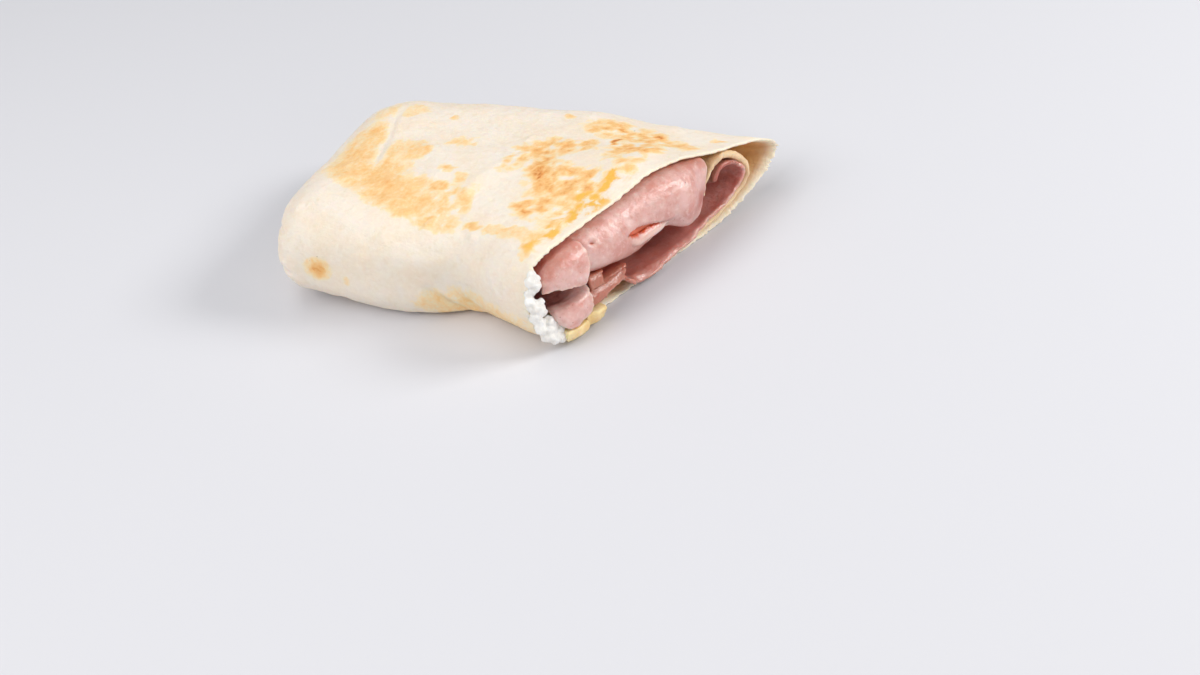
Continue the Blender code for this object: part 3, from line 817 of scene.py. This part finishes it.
meat_slice(
    "hanging_flap", "meat_left_flap",
    inner_rails((0.8, 0.5, 0.25, 0.09), (-41.6, 22.2), (-38.6, 24.2), (-35.6, 25.2),
                (-32.6, 25.6), (-29.8, 25.7)) + [
        rail((-43.0, 22.4, -1.2), (-39.6, 24.6, -0.8), (-36.0, 25.5, -0.5), (-32.8, 25.9, -0.3),
             (-30.2, 26.0, -0.3)),
        rail((-43.8, 21.8, 0.6), (-40.6, 24.0, 1.9), (-37.3, 24.8, 2.6), (-34.0, 24.9, 2.9),
             (-30.9, 24.9, 2.9)),
        rail((-44.2, 20.8, 1.6), (-41.6, 22.6, 3.6), (-38.7, 23.0, 4.6), (-35.4, 22.8, 5.1),
             (-31.9, 22.6, 4.9)),
        rail((-44.4, 19.6, 1.9), (-42.8, 20.4, 4.0), (-40.3, 20.3, 5.3), (-37.1, 19.7, 6.0),
             (-33.1, 18.9, 5.8)),
        rail((-44.8, 18.0, 1.8), (-43.6, 18.1, 3.6), (-41.7, 17.7, 5.0), (-39.0, 16.7, 5.7),
             (-34.9, 14.9, 5.5)),
    ],
    (30, 26, 17, 9, 3.2, 3.2, 3.2, 3), 13, 4, 51,
)

# The scooped slice at the near corner
# A slice that comes out low at the near corner. Its middle dips and its lip turns down, so it
# is a shallow scoop with a dark hollow behind it.

meat_slice(
    "scooped_slice", "meat_low_curl",
    inner_rails((0.8, 0.45, 0.2, 0.09), (-41.0, 9.8), (-38.5, 9.2), (-36.0, 9.4),
                (-33.5, 10.4), (-31.0, 11.8)) + [
        rail((-40.9, 10.4, -3), (-38.4, 9.8, -3), (-36.6, 10.0, -2), (-34.4, 11.3, 0),
             (-32.0, 12.2, 2.4)),
        rail((-42.8, 11.0, 0), (-41.2, 11.0, 1.5), (-39.4, 11.2, 3), (-37.0, 11.8, 4.4),
             (-33.6, 12.0, 5)),
        rail((-43.4, 10.4, 1.5), (-43.5, 10.8, 3.8), (-42.0, 11.0, 5.2), (-39.2, 10.9, 6.2),
             (-34.2, 10.0, 5.9)),
        rail((-43.6, 9.0, 2.2), (-44.0, 8.9, 5.0), (-43.1, 8.3, 6.5), (-40.2, 8.0, 6.7),
             (-34.8, 7.9, 6.1)),
        rail((-43.4, 7.8, 2.5), (-43.6, 6.8, 4.8), (-42.8, 5.4, 6.0), (-40.2, 5.2, 6.3),
             (-35.0, 6.6, 5.7)),
    ],
    (30, 26, 15, 6, 4, 4, 3, 3), 12, 3, 61,
)

# The small flap
# The narrow end of one more slice of the same meat. It just shows under the folded slice,
# pressed between that and the slice below it.

meat_slice(
    "small_flap", "meat_small_flap",
    inner_rails((0.8, 0.45, 0.2, 0.09), (-28.6, 12.6), (-26.6, 12.4), (-24.6, 12.2)) + [
        rail((-29.8, 13.4, 0.8), (-27.4, 13.0, 0.8), (-25.0, 12.6, 0.8)),
        rail((-31.4, 13.4, 2.6), (-29.0, 13.0, 2.6), (-26.4, 12.4, 2.4)),
        rail((-32.2, 12.3, 3.6), (-30.0, 11.9, 3.6), (-27.4, 11.3, 3.4)),
        rail((-32.4, 10.7, 3.9), (-30.2, 10.4, 3.9), (-27.6, 9.9, 3.7)),
    ],
    # Painted shade: the whole flap is tinted orange-brown for the shade of the folded slice over
    # it
    (30, 26, 15, 8, 2, 1.6, 1.6), 5, 4, 71, ragged=0.25, painted_shade=0.95,
)

# The ragged slice
# A slice of the same meat that lies below the small flap. It was torn, not cut, so its end is
# ragged where it comes out over the yellow cheese.

meat_slice(
    "ragged_slice", "meat_ragged_flap",
    inner_rails((0.8, 0.45, 0.2, 0.09), (-28.2, 9.2), (-25.5, 9.0), (-22.8, 8.8), (-20.0, 8.8),
                (-17.4, 8.8)) + [
        rail((-29.5, 9.9, 0.5), (-27.2, 9.6, 0.5), (-24.4, 9.4, 0.5), (-20.9, 9.6, 0.5),
             (-17.2, 9.6, 0.5)),
        rail((-32.4, 10.1, 3.0), (-29.5, 9.8, 3.0), (-25.3, 9.3, 2.5), (-22.1, 9.2, 2.5),
             (-19.0, 9.1, 2.5)),
        rail((-33.6, 8.9, 4.5), (-31.1, 8.7, 4.5), (-27.2, 8.5, 4.0), (-23.5, 8.2, 3.5),
             (-20.4, 7.9, 3.2)),
        rail((-34.0, 6.4, 5.0), (-31.3, 6.4, 5.0), (-27.9, 6.9, 4.6), (-23.9, 7.1, 4.0),
             (-20.7, 6.8, 3.6)),
    ],
    # Painted shade: the whole slice is tinted orange-brown for the shade of the slices over it
    (30, 26, 15, 8, 4, 3, 3), 16, 4, 81, ragged=0.50, painted_shade=0.90,
)

# The long low slice
# The largest slice of the meat. It lies along the base of the roll, with a ragged lip out of the
# cut, and its far end curls back over inside the bread's inner end.

LONG_SLICE = np.array([
    (-19.0, 6.4), (-16.5, 3.9), (-12.0, 2.9), (-4.0, 2.8), (4.0, 3.2), (11.0, 4.5), (18.0, 5.5),
    (23.8, 6.9), (27.5, 9.2), (28.7, 12.0), (27.3, 14.7), (24.9, 16.7), (22.3, 17.6), (20.0, 16.9),
    (18.0, 14.2),
]) * MM
long_u, long_v = np.meshgrid(
    edge_steps(80, 0.40),
    np.concatenate([toward(0, 0.60, 16)[:-1], toward(0.60, 0.985, 64)[:-1],
                    [0.985, 0.991, 0.996, 0.999, 1.0]]),
)
long_line = along_curve(LONG_SLICE, long_u)
LIP_AT = 0.86
long_lip = np.clip((long_v - LIP_AT) / (1 - LIP_AT), 0, 1)
long_depth = FILLING_DEPTH * np.clip(1 - long_v / LIP_AT, 0, 1) ** 1.5
reach = (3.1 + 0.5 * np.sin(46 * long_u)) * (1 - ease(long_u / 0.69))
reach += 0.5 * bell(long_u, 0.66, 0.06) - 2.4 * ease((long_u - 0.68) / 0.24)
droop = 1.6 * (1 - ease((long_u - 0.09) / 0.34))
long_places = wrap_point(long_line[..., 0], long_line[..., 1] - droop * MM * long_lip ** 2,
                         long_depth, reach * MM * long_lip)
long_places = meat_relief(long_places, across_normals(long_places, False), 91)
nothing = 0 * long_v
# Painted shade: the slice is tinted orange-brown, most at its curled far end in the hollow and at
# its near end, and darker red, most inside the cut, for the shade it lies in
long_painted_shade = 0.34 + 0.56 * ease((long_u - 0.74) / 0.10) + 0.30 * (1 - ease((long_u - 0.10) / 0.20))
long_slice = slab_object(
    "long_slice", long_places, MEAT, ragged=0.34 * MM, seed=94,
    marks={"torn": nothing, "pale_lip": nothing, "warm_tint_and_painted_shade": long_painted_shade,
           "mauve_and_painted_shade": 0.30 + 0.60 * (1 - ease((long_v - 0.84) / 0.10)) + nothing},
)
dress_meat(long_slice, "meat_long_slice")

# The pale cheese
# Two pieces of a mild yellow cheese slice, softened by the heat, which stick out at the bottom
# of the near corner. It lets some light through at its broken edges.


def cheese_block(name, rails, thick, width, seed):
    u = edge_steps(width, 0.34)
    v = rail_steps((30, 22, 9, 5.5, 1.5),
                   lambda n: 0.34 if n >= 3 else 1.0 if n == 2 else 3.0)
    places = loft(rails, u, v)
    push = 0.10 * lumps(places, 4.2 * MM, seed) + 0.05 * lumps(places, 1.8 * MM, seed + 1)
    places = places + across_normals(places, False) * (push * MM)[..., None]
    return slab_object(name, places, thick, ragged=0.16 * MM, seed=seed + 2, rounding=0.50 * MM)


near_block = cheese_block(
    "near_cheese",
    inner_rails((0.7, 0.3, 0.09), (-42.0, 3.4), (-39.0, 3.2), (-35.6, 3.0)) + [
        rail((-43.0, 3.6, 0.5), (-39.6, 3.3, 0.5), (-36.0, 3.0, 0.5)),
        rail((-44.0, 3.4, 5.2), (-40.6, 3.1, 5.6), (-36.8, 2.8, 5.0)),
        rail((-44.4, 3.2, 6.4), (-41.0, 2.9, 7.0), (-37.0, 2.7, 6.2)),
    ], 3.4 * MM, 9, 101)
far_block = cheese_block(
    "far_cheese",
    inner_rails((0.7, 0.3, 0.09), (-35.0, 3.6), (-32.2, 3.6), (-29.0, 3.4)) + [
        rail((-36.0, 3.8, 0.5), (-32.6, 3.7, 0.5), (-29.4, 3.4, 0.5)),
        rail((-36.6, 3.9, 4.6), (-33.4, 3.6, 5.4), (-30.2, 3.2, 4.6)),
        rail((-36.8, 3.9, 5.6), (-33.8, 3.4, 6.6), (-30.6, 3.0, 5.6)),
    ], 3.9 * MM, 8, 111)

# Smooth pale yellow cheese with a slight shine
cheese = Finish("mild_yellow_cheese")
cheese_tone = cheese.noise(3.4 * MM, 4.0, rough=0.6)
cheese_colour = cheese.mix(cheese.between(cheese_tone, 0.35, 0.65), shade(232, 196, 136),
                           shade(247, 226, 178))
cheese_colour = cheese.mix(cheese.combine("MULTIPLY", cheese.mark("edge"), 0.35), cheese_colour,
                           shade(240, 206, 148))
cheese.link(cheese_colour, cheese.shader.inputs["Base Color"])
cheese.shader.inputs["Roughness"].default_value = 0.34
cheese.shader.inputs["Coat Weight"].default_value = 0.25
cheese.shader.inputs["Coat Roughness"].default_value = 0.2
cheese.soft(0.5, (1.0, 0.60, 0.26), 3.0 * MM)
cheese.link(cheese.bump(cheese.noise(0.9 * MM, 4.0, shift=2.0), 0.3 * MM, 0.5),
            cheese.shader.inputs["Normal"])
for block in (near_block, far_block):
    block.data.materials.append(cheese.material)
    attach(block, "root")
    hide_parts("cheese_slice")

# The soft white cheese
# A moist, crumbly fresh cheese, spread along the near side of the bread. Where it was pushed out
# of the cut it stands in three heaps of rounded curds that hang over the edge.

# Curds at the cut, of (across, height, out, radius) in mm, from the top of the flank down
CURDS = [
    (-45.4, 24.5, 0.6, 1.2), (-46.6, 23.0, 1.2, 1.7), (-46.0, 21.5, 1.8, 1.6),
    (-47.0, 20.4, 1.4, 1.2), (-48.7, 18.0, 1.6, 1.5), (-48.3, 16.3, 2.0, 2.0),
    (-47.2, 14.7, 2.5, 1.9), (-48.3, 13.2, 2.1, 1.7), (-46.5, 13.3, 2.7, 1.2),
    (-47.7, 10.7, 2.2, 1.4), (-47.9, 8.7, 2.4, 1.8), (-46.6, 7.3, 2.8, 1.6),
    (-47.0, 5.6, 2.8, 1.9), (-45.5, 4.3, 3.3, 1.9), (-44.0, 3.3, 3.8, 1.6),
    (-45.7, 6.5, 3.6, 1.0), (-46.4, 16.6, 2.6, 1.0), (-45.0, 23.2, 1.6, 0.9),
    (-43.0, 2.9, 4.6, 1.0), (-47.6, 19.6, 0.6, 1.3), (-47.4, 11.8, 0.6, 1.8),
    (-45.3, 9.4, 2.4, 1.7), (-44.4, 7.6, 2.8, 1.6), (-43.4, 5.8, 3.2, 1.5),
]
# The strip of spread cheese behind them, as shares of the way round the bread
STRIP_MIDDLE = -0.004
STRIP_HALF = 0.075
strip_u, strip_v = np.meshgrid(
    np.arange(40) / 40, np.concatenate([[0.0, 0.02], toward(0.06, 1.0, 22)]))
strip_end = np.where(strip_v > 0, np.minimum(strip_v / 0.1, 1) ** 0.5, 0.0)
strip_s = STRIP_MIDDLE + STRIP_HALF * np.sin(2 * math.pi * strip_u) * strip_end
strip_inset = BREAD + 0.4 * MM + 1.1 * MM * (1 + np.cos(2 * math.pi * strip_u) * strip_end)
strip_t = FILLING_DEPTH * (1 - strip_v) + 0.01
strip_y, strip_z = section_point(strip_s, strip_t, strip_inset)
spread = bmesh.new()
strip_rows = wrap_point(strip_y, strip_z, strip_t)
corners = [[spread.verts.new(place) for place in row] for row in strip_rows.tolist()]
for row, below in zip(corners, corners[1:]):
    for k in range(len(row)):
        spread.faces.new((row[k - 1], row[k], below[k], below[k - 1]))
spread.faces.new(corners[-1])
for across, height, out, radius in CURDS:
    place = wrap_point(np.array(across * MM), np.array(height * MM), np.array(0.0), out * MM)
    bmesh.ops.create_icosphere(
        spread, subdivisions=3, radius=radius * MM, matrix=Matrix.Translation(place.tolist()))
bmesh.ops.remove_doubles(spread, verts=spread.verts, dist=0.001 * MM)
bmesh.ops.recalc_face_normals(spread, faces=spread.faces)
spread_mesh = bpy.data.meshes.new("curds")
spread.to_mesh(spread_mesh)
spread.free()
curds = bpy.data.objects.new("curds", spread_mesh)
bpy.context.scene.collection.objects.link(curds)

# The strip and the curds are joined into one mass, and their joins rounded
joined = curds.modifiers.new("joined", "REMESH")
joined.mode = "VOXEL"
joined.voxel_size = 0.30 * MM
rounded = curds.modifiers.new("rounded", "SMOOTH")
rounded.factor = 0.5
rounded.iterations = 3
bpy.context.view_layer.update()
mass = bpy.data.meshes.new_from_object(curds.evaluated_get(bpy.context.evaluated_depsgraph_get()))
bpy.data.objects.remove(curds)
curd_places = np.empty(len(mass.vertices) * 3, np.float32)
mass.vertices.foreach_get("co", curd_places)
curd_places = curd_places.reshape(-1, 3).astype(float)
curd_normals = np.empty(len(mass.vertices) * 3, np.float32)
mass.vertex_normals.foreach_get("vector", curd_normals)
crumbly = ease((on_cut(curd_places)[2] + 1.0) / 2)
crumbly *= ease((curd_places[:, 2] - 0.8 * MM) / (1.5 * MM))
curd_push = 0.34 * lumps(curd_places, 1.9 * MM, 121) + 0.26 * lumps(curd_places, 0.9 * MM, 122)
curd_places += curd_normals.reshape(-1, 3) * (curd_push * crumbly * MM)[:, None]
curd_places[:, 2] = np.maximum(curd_places[:, 2], 0.3 * MM)
mass.vertices.foreach_set("co", curd_places.astype(np.float32).ravel())
mass.shade_smooth()
soft_cheese = bpy.data.objects.new("soft_cheese_lumps", mass)
bpy.context.scene.collection.objects.link(soft_cheese)

# White, moist and grainy cheese
curd = Finish("soft_white_cheese")
curd_tone = curd.noise(2.2 * MM, 4.0, rough=0.6)
curd.link(curd.mix(curd.between(curd_tone, 0.35, 0.7), shade(232, 230, 225),
                   shade(244, 243, 240)), curd.shader.inputs["Base Color"])
curd.link(curd.combine("MULTIPLY_ADD", curd_tone, 0.3, 0.28), curd.shader.inputs["Roughness"])
curd.shader.inputs["Specular IOR Level"].default_value = 0.5
curd.soft(0.5, (1.0, 0.92, 0.84), 2.5 * MM)
curd.link(curd.bump(curd.noise(0.7 * MM, 4.0, shift=3.0), 0.3 * MM, 0.6),
          curd.shader.inputs["Normal"])
soft_cheese.data.materials.append(curd.material)
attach(soft_cheese, "root")
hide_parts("soft_cheese")

# The floor
# A wide sheet of pale matt paper that the half lies on, as in a studio.

FLOOR_SIZE = 4.0
floor_mesh = bpy.data.meshes.new("floor")
corner = FLOOR_SIZE / 2
floor_mesh.from_pydata(
    [(-corner, -corner, 0), (corner, -corner, 0), (corner, corner, 0), (-corner, corner, 0)],
    [], [(0, 1, 2, 3)],
)
floor = bpy.data.objects.new("floor", floor_mesh)
floor.location = (0, 0, -0.0002)
bpy.context.scene.collection.objects.link(floor)
paper = Finish("pale_floor")
paper.shader.inputs["Base Color"].default_value = shade(217, 218, 224)
paper.shader.inputs["Roughness"].default_value = 0.9
floor_mesh.materials.append(paper.material)

# Light
# A window beyond the far right, a soft sheet of light overhead, the brightness of the room from
# the near left, and a weak reflector at the near right that opens up the hollows of the cut.

world = bpy.data.worlds.new("studio")
bpy.context.scene.world = world
world.use_nodes = True
world.node_tree.nodes["Background"].inputs["Color"].default_value = (0.95, 0.97, 1.0, 1.0)
world.node_tree.nodes["Background"].inputs["Strength"].default_value = 0.26
bpy.context.scene.view_settings.view_transform = "Standard"


def soft_light(name, place, size, power, colour):
    """A flat light of this size that faces the half from its place."""
    light = bpy.data.lights.new(name, "AREA")
    light.shape = "RECTANGLE"
    light.size, light.size_y = size
    light.energy = power
    light.color = colour
    made = bpy.data.objects.new(name, light)
    backward = np.array(place) / np.linalg.norm(place)
    side = np.cross((0, 0, 1), backward)
    side = side / np.linalg.norm(side)
    above = np.cross(backward, side)
    matrix = Matrix([side.tolist(), above.tolist(), backward.tolist()]).transposed().to_4x4()
    matrix.translation = place
    made.matrix_world = matrix
    bpy.context.scene.collection.objects.link(made)


soft_light("window", (0.80, 0.31, 0.54), (0.40, 0.30), 6.2, (1.0, 0.985, 0.96))
soft_light("overhead", (-0.26, 0.02, 0.88), (0.7, 0.5), 2.4, (1.0, 0.985, 0.96))
soft_light("room", (-0.40, -0.58, 0.70), (0.8, 0.6), 4.9, (1.0, 0.98, 0.955))
soft_light("reflector", (0.72, -0.70, 0.26), (0.7, 0.5), 2.0, (1.0, 0.95, 0.90))

# The camera
# It looks down on the cut from the near right, as the photograph does.

camera_data = bpy.data.cameras.new("camera")
camera_data.lens = 54.434
camera_data.sensor_width = 36.0
camera = bpy.data.objects.new("camera", camera_data)
right = (0.9112, 0.375, -0.1704)
above = (-0.1045, 0.6107, 0.7849)
backward = (0.3984, -0.6974, 0.5957)
camera.matrix_world = Matrix([right, above, backward]).transposed().to_4x4()
camera.matrix_world.translation = (0.235027, -0.377755, 0.292567)
bpy.context.scene.collection.objects.link(camera)
bpy.context.scene.camera = camera
